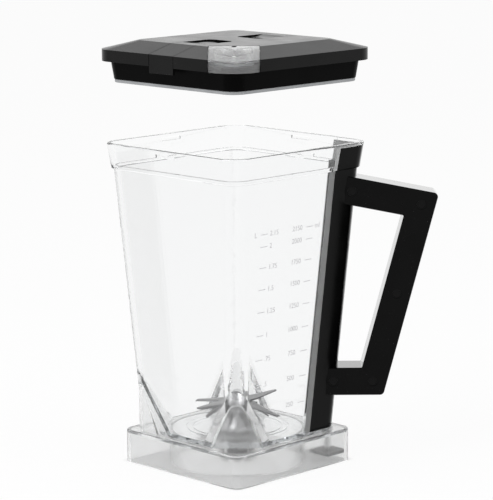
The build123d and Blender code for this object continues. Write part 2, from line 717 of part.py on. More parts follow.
def lid_form(inset):
    """Solid form of the lid's outside, moved in by inset: upright rim, four slopes and a flat crown."""
    side = LID_SIDE - 2 * inset
    crown_side = LID_SIDE - 2 * LID_SLOPE_WIDTH
    rim_top = LID_BASE + LID_RIM - inset * (1 - lid_slope)
    with BuildPart() as form:
        with BuildSketch(Plane.XY.offset(LID_BASE)):
            RectangleRounded(side, side, LID_CORNER - inset)
        extrude(amount=rim_top - LID_BASE)
        with BuildSketch(Plane.XY.offset(rim_top)):
            RectangleRounded(side, side, LID_CORNER - inset)
        with BuildSketch(Plane.XY.offset(LID_TOP - inset)):
            RectangleRounded(crown_side, crown_side, LID_CROWN_CORNER)
        loft(ruled=True)
    return form.part


def latch_plan():
    """Latch seen from above on the -Y side: a strip from the rim inwards with a round end."""
    past_rim = lid_half + LATCH_PIN_INSET
    tip_centre = lid_half - TONGUE_LENGTH + LATCH_WIDTH / 2
    with BuildSketch() as plan:
        with Locations((0, -(tip_centre + past_rim) / 2)):
            Rectangle(LATCH_WIDTH, past_rim - tip_centre)
        with Locations((0, -tip_centre)):
            Circle(LATCH_WIDTH / 2)
    return plan.sketch


def latch_slot_plan(grow):
    """Opening for a latch and for the finger at the end of its tongue."""
    past_rim = lid_half + LATCH_PIN_INSET
    end = FINGER_END - grow
    with BuildSketch() as plan:
        with Locations((0, -(end + past_rim) / 2)):
            RectangleRounded(LATCH_WIDTH + 2 * (MOVE_GAP + grow), past_rim - end, FINGER_ROUND + grow)
    return plan.sketch


def spout_plan(start, width):
    """Band across the front corner of the lid, from start outwards."""
    end = lid_half * sqrt(2)
    middle = (start + end) / 2 / sqrt(2)
    with BuildSketch() as plan:
        with Locations(Location((middle, -middle, 0), (0, 0, -45))):
            Rectangle(end - start, width)
    return plan.sketch


def pour_plan(grow):
    """Five-sided pouring hole that follows the front corner of the lid, grown all round."""
    back = POUR_START - grow
    half = POUR_HALF_WIDTH + grow
    apex = POUR_END + grow * sqrt(2)
    outline = [(back, -half), (apex - half, -half), (apex, 0), (apex - half, half), (back, half)]
    with BuildSketch() as plan:
        Polygon(*outline, rotation=-45, align=None)
        fillet(plan.vertices(), POUR_ROUND + grow)
    return plan.sketch


latch_tray_plan = latch_slot_plan(TRAY_WALL)
latch_slot = latch_slot_plan(0.0)
spout_slot_start = SPOUT_START - SPOUT_SWING_GAP
spout_slot_width = SPOUT_WIDTH + 2 * MOVE_GAP
spout_slot = spout_plan(spout_slot_start, spout_slot_width)
spout_tray_plan = spout_plan(spout_slot_start - TRAY_WALL, spout_slot_width + 2 * TRAY_WALL)
lid_outside = lid_form(0.0)
lid_inside = lid_form(LID_WALL)
tray_form = lid_form(LID_WALL / 2)
LATCH_PIN = (lid_half - LATCH_PIN_INSET, LID_BASE + LATCH_PIN_HEIGHT)
latch_pin_half = LATCH_WIDTH / 2 + MOVE_GAP + TRAY_WALL
spout_pin_half = spout_slot_width / 2 + TRAY_WALL
SPOUT_PIN = (SPOUT_START + SPOUT_PIN_INSET, LID_TOP - SPOUT_PIN_DROP)
spout_plane = corner_plane(-90)
lug_radius = SPOUT_PIN_RADIUS + KNUCKLE_WALL
pour_hole = pour_plan(0.0)
pour_tube = pour_plan(PLUG_WALL)
pour_seat = pour_plan(POUR_SEAL_WIDTH)


def lid_tray(plan, floor):
    """Walled tray under an opening of the lid, up to the underside of the cover's skin."""
    with BuildPart() as tray:
        add(tray_form)
        with BuildSketch(Plane.XY.offset(floor - TRAY_FLOOR)):
            add(plan)
        extrude(amount=PAST, mode=Mode.INTERSECT)
    return tray.part


latch_tray = lid_tray(latch_tray_plan, latch_tray_floor)
spout_tray = lid_tray(spout_tray_plan, spout_tray_floor)

with BuildPart() as latch_opening:
    with BuildSketch(Plane.XY.offset(latch_tray_floor)):
        add(latch_slot)
    extrude(amount=PAST)
    with BuildSketch(Plane.XY.offset(LID_BASE - EDGE_ROUND)):
        with Locations((0, -lid_half)):
            Rectangle(LATCH_WIDTH + 2 * MOVE_GAP, 2 * (LATCH_SKIN + MOVE_GAP))
    extrude(amount=PAST)
    with BuildSketch(Plane.YZ):
        with Locations((-LATCH_PIN[0], LATCH_PIN[1])):
            Circle(LATCH_PIN_RADIUS + RUN_GAP)
    extrude(amount=latch_pin_half, both=True)

spout_backing = lid_form(SPOUT_SKIN + MOVE_GAP)
with BuildPart() as spout_room:
    with BuildSketch(Plane.XY.offset(LID_BASE)):
        add(spout_slot)
    extrude(amount=PAST)
    add(spout_backing, mode=Mode.SUBTRACT)

with BuildPart() as lid_cover:
    add(lid_outside)
    add(lid_inside, mode=Mode.SUBTRACT)
    add(spout_tray)
    for turn in (0, 180):
        add(latch_tray.rotate(Axis.Z, turn))
    for turn in (0, 180):
        add(latch_opening.part.rotate(Axis.Z, turn), mode=Mode.SUBTRACT)
    add(spout_room.part, mode=Mode.SUBTRACT)
    with BuildSketch(Plane.XY.offset(spout_tray_floor)):
        add(spout_slot)
    extrude(amount=PAST, mode=Mode.SUBTRACT)
    with BuildSketch(spout_plane):
        with Locations(((spout_slot_start + SPOUT_PIN[0]) / 2, SPOUT_PIN[1])):
            Rectangle(SPOUT_PIN[0] - spout_slot_start, 2 * lug_radius)
        with Locations(SPOUT_PIN):
            Circle(lug_radius)
    extrude(amount=SPOUT_NOTCH_WIDTH / 2 - MOVE_GAP, both=True)
    with BuildSketch(spout_plane):
        with Locations(SPOUT_PIN):
            Circle(SPOUT_PIN_RADIUS + RUN_GAP)
    extrude(amount=spout_pin_half, both=True, mode=Mode.SUBTRACT)
    with BuildSketch(Plane.XY.offset(LID_BASE)):
        add(pour_hole)
    extrude(amount=SPOUT_TRAY_LIFT, mode=Mode.SUBTRACT)


def plug_side(z):
    """Side of the lifted collar bore at height z."""
    return collar_side(z - LID_LIFT) - 2 * COLLAR_WALL


plug_foot = LID_BASE - PLUG_DEPTH
plug_corner = COLLAR_CORNER - COLLAR_WALL
plug_outer = square_taper(plug_side, plug_corner, plug_foot, LID_BASE, PLUG_GAP)
plug_hollow = square_taper(
    plug_side, plug_corner, plug_foot + PLUG_WALL, LID_BASE + PLUG_FLANGE, PLUG_GAP + PLUG_WALL
)
flange_side = LID_SIDE - 2 * LID_WALL - 2 * MOVE_GAP

with BuildPart() as lid_plug:
    add(plug_outer)
    with BuildSketch(Plane.XY.offset(LID_BASE)):
        RectangleRounded(flange_side, flange_side, LID_CORNER - LID_WALL - MOVE_GAP)
    extrude(amount=PLUG_FLANGE)
    add(plug_hollow, mode=Mode.SUBTRACT)
    with BuildSketch(Plane.XY.offset(plug_foot)):
        add(pour_tube)
    extrude(amount=spout_tray_floor - TRAY_FLOOR - plug_foot)
    with BuildSketch(Plane.XY.offset(plug_foot)):
        add(pour_hole)
    extrude(amount=PAST, mode=Mode.SUBTRACT)

with BuildPart() as lid_gasket:
    gasket_side = plug_side(plug_foot) - 2 * PLUG_GAP - EDGE_ROUND
    gasket_corner = plug_corner - PLUG_GAP - EDGE_ROUND / 2
    inner_side = gasket_side - 2 * LID_GASKET_WIDTH
    with BuildSketch(Plane.XY.offset(plug_foot - LID_GASKET)):
        RectangleRounded(gasket_side, gasket_side, gasket_corner)
        RectangleRounded(inner_side, inner_side, gasket_corner - LID_GASKET_WIDTH, mode=Mode.SUBTRACT)
    extrude(amount=LID_GASKET)

# Latches
latch_skin_inside = lid_form(LATCH_SKIN)
latch_shape = latch_plan()

with BuildPart() as latch_front:
    add(lid_outside)
    add(latch_skin_inside, mode=Mode.SUBTRACT)
    with BuildSketch(Plane.XY.offset(LID_BASE)):
        add(latch_shape)
    extrude(amount=PAST, mode=Mode.INTERSECT)
    with BuildSketch(Plane.YZ):
        with Locations((-DISH_REACH, LID_TOP + DISH_RADIUS - DISH_DEPTH)):
            Circle(DISH_RADIUS)
    extrude(amount=LATCH_WIDTH, both=True, mode=Mode.SUBTRACT)
    with BuildSketch(Plane.XY.offset(LID_BASE - LATCH_LEG)):
        with Locations((0, LATCH_LEG_WALL / 2 - lid_half)):
            Rectangle(LATCH_WIDTH, LATCH_LEG_WALL)
    extrude(amount=LATCH_LEG)
    with BuildSketch(Plane.YZ):
        with Locations((-LATCH_PIN[0], LATCH_PIN[1])):
            Circle(LATCH_PIN_RADIUS + KNUCKLE_WALL)
    extrude(amount=LATCH_WIDTH / 2, both=True)
    with BuildSketch(Plane.YZ):
        with Locations((-LATCH_PIN[0], LATCH_PIN[1])):
            Circle(LATCH_PIN_RADIUS + RUN_GAP)
    extrude(amount=LATCH_WIDTH, both=True, mode=Mode.SUBTRACT)

with BuildPart() as latch_back:
    add(latch_front.part.rotate(Axis.Z, 180))

with BuildPart() as latch_pins:
    with BuildSketch(Plane.YZ):
        with Locations((-LATCH_PIN[0], LATCH_PIN[1]), LATCH_PIN):
            Circle(LATCH_PIN_RADIUS)
    extrude(amount=latch_pin_half, both=True)

# Leaf springs that push the tongues up
spring_root = LATCH_PIN[0] - LATCH_PIN_RADIUS - KNUCKLE_WALL - EDGE_ROUND
spring_tip_height = LID_TOP - LATCH_SKIN - MOVE_GAP
with BuildPart() as latch_spring_front:
    with BuildSketch(Plane.YZ):
        with BuildLine():
            Polyline(
                (-spring_root, latch_tray_floor),
                (SPRING_FOOT - spring_root, latch_tray_floor),
                (SPRING_FOOT + SPRING_RUN - spring_root, spring_tip_height - SPRING_THICKNESS),
                (SPRING_FOOT + SPRING_RUN - spring_root, spring_tip_height),
                (SPRING_FOOT - SPRING_THICKNESS - spring_root, latch_tray_floor + SPRING_THICKNESS),
                (-spring_root, latch_tray_floor + SPRING_THICKNESS),
                close=True,
            )
        make_face()
    extrude(amount=SPRING_WIDTH / 2, both=True)

with BuildPart() as latch_spring_back:
    add(latch_spring_front.part.rotate(Axis.Z, 180))

# Clear pouring cap with its hinge pin, stopper frame and seal
spout_inside = lid_form(SPOUT_SKIN)
spout_shape = spout_plan(SPOUT_START, SPOUT_WIDTH)
stopper_foot = spout_tray_floor + POUR_SEAL + MOVE_GAP
stopper_inside = pour_plan(EDGE_ROUND)

with BuildPart() as spout_stopper:
    add(spout_inside)
    with BuildSketch(Plane.XY.offset(stopper_foot)):
        add(pour_seat)
        add(stopper_inside, mode=Mode.SUBTRACT)
    extrude(amount=PAST, mode=Mode.INTERSECT)

with BuildPart() as spout_cap:
    add(lid_outside)
    add(spout_inside, mode=Mode.SUBTRACT)
    with BuildSketch(Plane.XY.offset(LID_BASE)):
        add(spout_shape)
    extrude(amount=PAST, mode=Mode.INTERSECT)
    add(spout_stopper.part)
    with BuildSketch(spout_plane):
        with Locations(SPOUT_PIN):
            Circle(lug_radius)
    extrude(amount=SPOUT_WIDTH / 2, both=True)
    with BuildSketch(spout_plane):
        with Locations((SPOUT_PIN[0] + SPOUT_NOTCH_REACH - PAST / 2, SPOUT_PIN[1])):
            Rectangle(PAST, PAST)
    extrude(amount=SPOUT_NOTCH_WIDTH / 2, both=True, mode=Mode.SUBTRACT)
    with BuildSketch(spout_plane):
        with Locations(SPOUT_PIN):
            Circle(SPOUT_PIN_RADIUS + RUN_GAP)
    extrude(amount=SPOUT_WIDTH, both=True, mode=Mode.SUBTRACT)

with BuildPart() as spout_pin:
    with BuildSketch(spout_plane):
        with Locations(SPOUT_PIN):
            Circle(SPOUT_PIN_RADIUS)
    extrude(amount=spout_pin_half, both=True)

with BuildPart() as spout_seal:
    with BuildSketch(Plane.XY.offset(spout_tray_floor)):
        add(pour_seat)
        add(pour_hole, mode=Mode.SUBTRACT)
    extrude(amount=POUR_SEAL)

PIECES = {
    "jar_body": jar_body,
    "handle_post": handle_post,
    "handle_half_front": handle_half_front,
    "handle_half_back": handle_half_back,
    "handle_screws": handle_screws,
    "foot_plate": foot_plate,
    "foot_screw": foot_screw,
    "bearing_housing": bearing_housing,
    "floor_gasket": floor_gasket,
    "clamp_nut": clamp_nut,
    "lower_bearing": lower_bearing,
    "upper_bearing": upper_bearing,
    "bearing_spacer": bearing_spacer,
    "bearing_circlip": bearing_circlip,
    "shaft_seal": shaft_seal,
    "blade_shaft": blade_shaft,
    "blade_washer": blade_washer,
    "blade_lower": blade_lower,
    "blade_middle": blade_middle,
    "blade_upper": blade_upper,
    "blade_cap_nut": blade_cap_nut,
    "drive_socket": drive_socket,
    "lid_cover": lid_cover,
    "lid_plug": lid_plug,
    "lid_gasket": lid_gasket,
    "latch_front": latch_front,
    "latch_back": latch_back,
    "latch_pins": latch_pins,
    "latch_spring_front": latch_spring_front,
    "latch_spring_back": latch_spring_back,
    "spout_cap": spout_cap,
    "spout_pin": spout_pin,
    "spout_seal": spout_seal,
}

os.makedirs("parts", exist_ok=True)
for name, piece in PIECES.items():
    piece.part.label = name
    export_step(piece.part, f"parts/{name}.step")
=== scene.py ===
import json
from math import cos, radians, sin, sqrt

import bpy
from mathutils import Euler, Matrix, Vector

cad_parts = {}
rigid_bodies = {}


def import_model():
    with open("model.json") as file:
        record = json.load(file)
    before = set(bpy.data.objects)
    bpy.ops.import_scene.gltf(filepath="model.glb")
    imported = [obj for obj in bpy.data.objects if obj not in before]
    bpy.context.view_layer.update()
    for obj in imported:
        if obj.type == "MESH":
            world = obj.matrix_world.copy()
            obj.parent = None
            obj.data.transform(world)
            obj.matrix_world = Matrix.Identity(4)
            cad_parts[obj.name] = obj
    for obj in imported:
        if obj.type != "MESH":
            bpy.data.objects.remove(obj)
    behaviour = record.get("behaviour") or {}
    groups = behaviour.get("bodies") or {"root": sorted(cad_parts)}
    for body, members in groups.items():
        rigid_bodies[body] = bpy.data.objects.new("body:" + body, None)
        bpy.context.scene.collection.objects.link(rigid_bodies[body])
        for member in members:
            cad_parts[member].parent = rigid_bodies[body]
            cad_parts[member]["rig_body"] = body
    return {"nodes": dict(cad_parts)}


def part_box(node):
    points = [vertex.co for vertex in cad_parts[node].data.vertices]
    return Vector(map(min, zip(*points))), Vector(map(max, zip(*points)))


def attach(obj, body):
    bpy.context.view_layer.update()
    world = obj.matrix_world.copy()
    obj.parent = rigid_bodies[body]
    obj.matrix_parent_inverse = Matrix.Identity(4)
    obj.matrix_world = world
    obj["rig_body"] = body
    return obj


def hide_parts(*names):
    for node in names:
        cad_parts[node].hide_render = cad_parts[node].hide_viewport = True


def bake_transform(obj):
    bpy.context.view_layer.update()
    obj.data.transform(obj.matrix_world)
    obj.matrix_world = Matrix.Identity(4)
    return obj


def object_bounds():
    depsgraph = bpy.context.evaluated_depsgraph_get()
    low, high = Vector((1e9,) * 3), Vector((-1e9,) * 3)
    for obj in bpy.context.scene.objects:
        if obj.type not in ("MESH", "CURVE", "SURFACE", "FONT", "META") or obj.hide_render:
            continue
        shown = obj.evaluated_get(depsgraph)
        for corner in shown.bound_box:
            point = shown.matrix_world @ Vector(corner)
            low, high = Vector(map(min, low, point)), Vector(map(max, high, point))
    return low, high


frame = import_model()
CAD_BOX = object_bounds()
MM = 0.001
MILLILITRE = 1000 * MM**3
DIAGONAL = sqrt(0.5)

# Camera, read off the photograph
PHOTO_AZIMUTH = 45.23
PHOTO_ELEVATION = 10.41
PHOTO_DISTANCE = 1895 * MM
PHOTO_AIM = Vector((5.66, 5.66, 167.1)) * MM
PHOTO_ROLL = 0.36
LENS = 176.3
SENSOR = 36.0

# Levels of the white surroundings: seen directly, low down in reflections, overhead, and as light
WHITE = 1.0
BAND = 1.15
CEILING = 0.3
DAYLIGHT = 0.55
# Sines of the elevations over which the low band fades out and the ceiling fades in
BAND_FADE = (0.3, 0.5)
CEILING_FADE = (0.6, 0.9)

# How white the floor is seen: in the open, under the skirt and inside its ring; the lower levels under the
# jar are painted shade over its real shadow
OPEN_FLOOR = 0.93
PAINTED_SHADE_UNDER_SKIRT = 0.2
PAINTED_SHADE_INSIDE_RING = 0.6
FLOOR_SIZE = 12
FLOOR_DROP = 0.2 * MM
FLOOR_TONE = (0.9, 0.9, 0.9, 1)
PURE_WHITE = (1, 1, 1, 1)

# Bounces of light, enough to pass through all the walls of the clear jar
LIGHT_BOUNCES = 32
GLOSS_BOUNCES = 16

# Sizes of the clear jar, as in its solid
SKIRT_TOP = 25.5 * MM
SKIRT_HALF = 63.9 * MM
RING_RADIUS = 52 * MM
FLOOR_TOP = 28 * MM
JAR_WALL = 4 * MM
BODY_FOOT_HALF = 56.2 * MM
BODY_TOP_HALF = 70.3 * MM
COLLAR_FOOT = 232 * MM
COLLAR_FOOT_HALF = 72.2 * MM
COLLAR_SLOPE = 0.12
CORNER = 16 * MM
WALL_SLOPE = (BODY_TOP_HALF - BODY_FOOT_HALF) / (COLLAR_FOOT - SKIRT_TOP)
# Ramps in the lower corners, and the hollow columns behind them
RAMP_REACH = 50.2 * MM
RAMP_LEAN = 0.549
COLUMN_TOP = 73.2 * MM
# Recess for the post, and the least depth that counts as its back at the head
SEAT_HALF = 25.1 * MM
SEAT_DEPTH = 2.7 * MM
SEAT_FOOT = 27.4 * MM
HEAD_DEPTH = 1.8 * MM

# Where one finish of the clear plastic gives way to another
EDGE = 0.1 * MM
RAMP_SKIN = 1 * MM
RAMP_FADE = 2 * MM
COLUMN_FADE = 4 * MM
SKIRT_INSIDE = SKIRT_HALF - 4 * MM
SKIRT_BRIM = SKIRT_TOP - 1.5 * MM
SKIRT_FADE = 1 * MM
RING_FADE = 5 * MM

# Roughness of the clear plastic, and how clear its satin parts are
POLISH = 0.01
SKIRT_SATIN = 0.07
RAMP_SATIN = 0.14
RAMP_CLARITY = 0.94
SKIRT_CLARITY = 0.86
SEAT_CLARITY = 0.7
HEAD_CLARITY = 0.3

# Values between which a noise mostly stays, and the height of a fine bump
NOISE_LOW = 0.3
NOISE_HIGH = 0.7
FINE_BUMP = 0.05 * MM
# Facing values over which the gloss at grazing angles comes in
GLAZE_FADE = (0.6, 0.8)
# How much darker the low lines of ground steel are
GROUND_SHADE = 0.8

# Volume marks printed on the +X wall, and what blades, ramps and rounded corners take from the volume
VOLUMES = (2150, 2000, 1750, 1500, 1250, 1000, 750, 500, 250)
DISPLACED = 48 * MILLILITRE
CORNER_SHARE = 1.008
DIGIT_SIZE = 5.4 * MM
PRINT_THICKNESS = 0.06 * MM
TICK_LENGTH = 7.2 * MM
TICK_WIDTH = 0.55 * MM
TICK_ROUND = 0.04 * MM
RIGHT_TICK_AT = 11.6 * MM
RIGHT_LABEL_AT = -1.6 * MM
RIGHT_UNIT_AT = 20 * MM
LEFT_TICK_AT = -37 * MM
LEFT_LABEL_AT = -31 * MM
LEFT_UNIT_AT = -46 * MM

# Copies of the solids: gap closed by merging, angle taken as flat, angle shaded smooth, steps in a round
MERGE_GAP = 0.002 * MM
FLAT_ANGLE = radians(0.3)
SMOOTH_ANGLE = radians(28)
ROUND_STEPS = 3
# Solids whose low ridges stay crisp
CRISP = ("lid_cover", "latch_front", "latch_back")
CRISP_ANGLE = radians(11)
# Leaf springs: share of the length that lies flat, and cuts across the leaf
SPRING_FOOT_SHARE = 0.3
SPRING_CUTS = 7


def deselect_all():
    for item in bpy.context.selected_objects:
        item.select_set(False)


def make_active(piece):
    deselect_all()
    piece.select_set(True)
    bpy.context.view_layer.objects.active = piece


def finish_with(piece, material):
    """Makes a material the only one of a piece."""
    piece.data.materials.clear()
    piece.data.materials.append(material)


def new_material(name):
    """Node material with a Principled shader, its node tree and the shader's sockets."""
    material = bpy.data.materials.new(name)
    material.use_nodes = True
    tree = material.node_tree
    tree.nodes.clear()
    output = tree.nodes.new("ShaderNodeOutputMaterial")
    output.name = "output"
    shader = tree.nodes.new("ShaderNodeBsdfPrincipled")
    tree.links.new(shader.outputs["BSDF"], output.inputs["Surface"])
    return material, tree, shader.inputs


def set_plain(sockets, values):
    """Sets what is the same all over on the sockets themselves."""
    for name, value in values.items():
        sockets[name].default_value = value


def wire(tree, value, socket):
    """Links a value to a socket, or sets the socket to a plain number."""
    if isinstance(value, (int, float)):
        socket.default_value = value
    else:
        tree.links.new(value, socket)


def axes(tree, kind):
    """X, Y and Z of one kind of coordinates."""
    place = tree.nodes.new("ShaderNodeTexCoord")
    split = tree.nodes.new("ShaderNodeSeparateXYZ")
    tree.links.new(place.outputs[kind], split.inputs["Vector"])
    return split.outputs


def calc(tree, operation, *values):
    """One step of arithmetic on sockets or plain numbers."""
    node = tree.nodes.new("ShaderNodeMath")
    node.operation = operation
    for socket, value in zip(node.inputs, values):
        wire(tree, value, socket)
    return node.outputs["Value"]


def fade(tree, value, start, end, low, high):
    """Goes from low to high while a value goes from start to end."""
    node = tree.nodes.new("ShaderNodeMapRange")
    set_plain(node.inputs, {"From Min": start, "From Max": end, "To Min": low, "To Max": high})
    tree.links.new(value, node.inputs["Value"])
    return node.outputs["Result"]


def choose(tree, share, first, second):
    """The first value where the share is 0, and the second where it is 1."""
    node = tree.nodes.new("ShaderNodeMix")
    wire(tree, share, node.inputs[0])
    wire(tree, first, node.inputs[2])
    wire(tree, second, node.inputs[3])
    return node.outputs[0]


def hypotenuse(tree, sides):
    squares = [calc(tree, "MULTIPLY", side, side) for side in sides]
    return calc(tree, "SQRT", calc(tree, "ADD", *squares))


def grain(tree, scale, detail=3.0, stretch=(1, 1, 1)):
    """Noise on object coordinates, stretched along the axes."""
    place = tree.nodes.new("ShaderNodeTexCoord")
    mapping = tree.nodes.new("ShaderNodeMapping")
    noise = tree.nodes.new("ShaderNodeTexNoise")
    set_plain(mapping.inputs, {"Scale": stretch})
    set_plain(noise.inputs, {"Scale": scale, "Detail": detail})
    tree.links.new(place.outputs["Object"], mapping.inputs["Vector"])
    tree.links.new(mapping.outputs["Vector"], noise.inputs["Vector"])
    return noise.outputs["Fac"]


def spread(tree, noise, low, high):
    """Number between two levels, by a noise."""
    return fade(tree, noise, NOISE_LOW, NOISE_HIGH, low, high)


def tint(tree, noise, dark, light):
    """Colour between two tones, by a noise."""
    node = tree.nodes.new("ShaderNodeValToRGB")
    low, high = node.color_ramp.elements
    low.position = NOISE_LOW
    low.color = (*dark, 1)
    high.position = NOISE_HIGH
    high.color = (*light, 1)
    tree.links.new(noise, node.inputs["Fac"])
    return node.outputs["Color"]


def relief(tree, noise, strength, distance):
    """Fine bump from a noise."""
    bump = tree.nodes.new("ShaderNodeBump")
    set_plain(bump.inputs, {"Strength": strength, "Distance": distance})
    tree.links.new(noise, bump.inputs["Height"])
    return bump.outputs["Normal"]


def corner_depth(tree, place, collar):
    """How deep a point lies under the rounded corner that carries the handle."""
    wall_at_zero = BODY_FOOT_HALF - WALL_SLOPE * SKIRT_TOP
    flare_at_zero = COLLAR_FOOT_HALF - COLLAR_SLOPE * COLLAR_FOOT
    wall = calc(tree, "MULTIPLY_ADD", place["Z"], WALL_SLOPE, wall_at_zero)
    flare = calc(tree, "MULTIPLY_ADD", place["Z"], COLLAR_SLOPE, flare_at_zero)
    step = calc(tree, "SUBTRACT", flare, wall)
    half = calc(tree, "MULTIPLY_ADD", collar, step, wall)
    centre = calc(tree, "SUBTRACT", half, CORNER)
    arms = []
    for axis in "XY":
        arm = calc(tree, "SUBTRACT", place[axis], centre)
        arms.append(calc(tree, "MAXIMUM", arm, 0.0))
    return calc(tree, "SUBTRACT", CORNER, hypotenuse(tree, arms))


def post_seat(tree, place):
    """How clear the plastic is: milky on the sides of the recess for the post, and all round its head."""
    height = place["Z"]
    across = calc(tree, "ABSOLUTE", calc(tree, "SUBTRACT", place["X"], place["Y"]))
    aside = calc(tree, "MULTIPLY", across, DIAGONAL)
    miss = calc(tree, "ABSOLUTE", calc(tree, "SUBTRACT", aside, SEAT_HALF))
    side = fade(tree, miss, EDGE, 2 * EDGE, 1, 0)
    between = fade(tree, aside, SEAT_HALF, SEAT_HALF + 2 * EDGE, 1, 0)
    collar = fade(tree, height, COLLAR_FOOT - EDGE, COLLAR_FOOT + EDGE, 0, 1)
    depth = corner_depth(tree, place, collar)
    shallow = fade(tree, depth, SEAT_DEPTH - EDGE, SEAT_DEPTH, 1, 0)
    deep = fade(tree, depth, HEAD_DEPTH, HEAD_DEPTH + 2 * EDGE, 0, 1)
    back = calc(tree, "MULTIPLY", calc(tree, "MULTIPLY", between, deep), collar)
    faces = calc(tree, "MULTIPLY", calc(tree, "MAXIMUM", side, back), shallow)
    over = fade(tree, height, SEAT_FOOT - EDGE, SEAT_FOOT, 0, 1)
    seat = calc(tree, "MULTIPLY", faces, over)
    clarity = fade(tree, collar, 0, 1, SEAT_CLARITY, HEAD_CLARITY)
    lost = calc(tree, "MULTIPLY", seat, calc(tree, "SUBTRACT", 1.0, clarity))
    return calc(tree, "SUBTRACT", 1.0, lost)


def behind_ramps(tree, height, sideways):
    """Roughness behind the slanted ramps, up to the tops of the columns."""
    reach = calc(tree, "MULTIPLY", calc(tree, "ADD", *sideways), DIAGONAL)
    lean = calc(tree, "MULTIPLY", height, RAMP_LEAN)
    behind = calc(tree, "SUBTRACT", reach, lean)
    skin = RAMP_REACH - RAMP_LEAN * FLOOR_TOP + RAMP_SKIN
    corner = fade(tree, behind, skin, skin + RAMP_FADE, 0, RAMP_SATIN)
    low = fade(tree, height, COLUMN_TOP - COLUMN_FADE, COLUMN_TOP, 1, 0)
    return calc(tree, "MULTIPLY", corner, low)


def on_skirt(tree, height, sideways):
    """1 on the skirt and 0 on the rest of the jar."""
    away = calc(tree, "MAXIMUM", *sideways)
    outside = fade(tree, away, SKIRT_INSIDE, SKIRT_INSIDE + SKIRT_FADE, 0, 1)
    under = fade(tree, height, SKIRT_BRIM, SKIRT_BRIM + SKIRT_FADE, 1, 0)
    return calc(tree, "MULTIPLY", outside, under)


def clear_plastic():
    """Polished clear moulding, satin on the skirt and behind the ramps, a little grey through its walls."""
    material, tree, sockets = new_material("clear_plastic")
    set_plain(sockets, {"Base Color": (0.996, 0.998, 0.998, 1), "IOR": 1.45})
    place = axes(tree, "Object")
    height = place["Z"]
    sideways = [calc(tree, "ABSOLUTE", place[axis]) for axis in "XY"]
    ramp_satin = behind_ramps(tree, height, sideways)
    skirt = on_skirt(tree, height, sideways)
    skirt_satin = fade(tree, skirt, 0, 1, POLISH, SKIRT_SATIN)
    tree.links.new(calc(tree, "MAXIMUM", ramp_satin, skirt_satin), sockets["Roughness"])
    ramp_clear = fade(tree, ramp_satin, 0, RAMP_SATIN, 1, RAMP_CLARITY)
    skirt_clear = fade(tree, skirt, 0, 1, 1, SKIRT_CLARITY)
    low_clear = calc(tree, "MINIMUM", skirt_clear, ramp_clear)
    clear = calc(tree, "MINIMUM", low_clear, post_seat(tree, place))
    tree.links.new(clear, sockets["Transmission Weight"])
    ripple = grain(tree, scale=25, detail=1.0)
    tree.links.new(relief(tree, ripple, strength=0.08, distance=0.5 * MM), sockets["Normal"])
    absorb = tree.nodes.new("ShaderNodeVolumeAbsorption")
    set_plain(absorb.inputs, {"Color": (0.87, 0.876, 0.88, 1), "Density": 50})
    tree.links.new(absorb.outputs["Volume"], tree.nodes["output"].inputs["Volume"])
    return material


def cap_plastic():
    """Clear moulding of the pouring cap, a little satin so that its ribs show softly."""
    material, tree, sockets = new_material("cap_plastic")
    set_plain(sockets, {"Base Color": (0.96, 0.965, 0.97, 1), "IOR": 1.4, "Transmission Weight": 0.93})
    cloud = grain(tree, scale=60, detail=2.0)
    tree.links.new(spread(tree, cloud, low=0.07, high=0.1), sockets["Roughness"])
    return material


def black_plastic(name, dark, light, rough, shine, glazed=False):
    """Moulded black plastic with a fine spark-eroded skin, which may be glossier at grazing angles."""
    material, tree, sockets = new_material(name)
    set_plain(sockets, {"Specular IOR Level": shine})
    skin = grain(tree, scale=2400, detail=2.0)
    cloud = grain(tree, scale=45)
    tree.links.new(tint(tree, cloud, (dark,) * 3, (light,) * 3), sockets["Base Color"])
    tree.links.new(spread(tree, cloud, *rough), sockets["Roughness"])
    tree.links.new(relief(tree, skin, strength=0.03, distance=FINE_BUMP), sockets["Normal"])
    if glazed:
        set_plain(sockets, {"Coat Roughness": 0.1, "Coat IOR": 2.0})
        graze = tree.nodes.new("ShaderNodeLayerWeight")
        coat = fade(tree, graze.outputs["Facing"], *GLAZE_FADE, 0, 1)
        tree.links.new(coat, sockets["Coat Weight"])
    return material


def brushed_steel(name, tone, rough):
    """Ground stainless steel with fine lines."""
    material, tree, sockets = new_material(name)
    set_plain(sockets, {"Metallic": 1.0})
    lines = grain(tree, scale=90, detail=4.0, stretch=(1, 12, 12))
    shade = [GROUND_SHADE * part for part in tone]
    tree.links.new(tint(tree, lines, shade, tone), sockets["Base Color"])
    tree.links.new(spread(tree, lines, *rough), sockets["Roughness"])
    tree.links.new(relief(tree, lines, strength=0.15, distance=FINE_BUMP), sockets["Normal"])
    return material


def rubber(name, dark, light):
    """Soft matt silicone."""
    material, tree, sockets = new_material(name)
    cloud = grain(tree, scale=60)
    skin = grain(tree, scale=1500)
    tree.links.new(tint(tree, cloud, dark, light), sockets["Base Color"])
    tree.links.new(spread(tree, cloud, low=0.55, high=0.7), sockets["Roughness"])
    tree.links.new(relief(tree, skin, strength=0.2, distance=FINE_BUMP), sockets["Normal"])
    return material


def mark_ink(name, dark, light):
    """Pale grey print, a little uneven."""
    material, tree, sockets = new_material(name)
    set_plain(sockets, {"Roughness": 0.6})
    cloud = grain(tree, scale=300, detail=2.0)
    tree.links.new(tint(tree, cloud, dark, light), sockets["Base Color"])
    return material


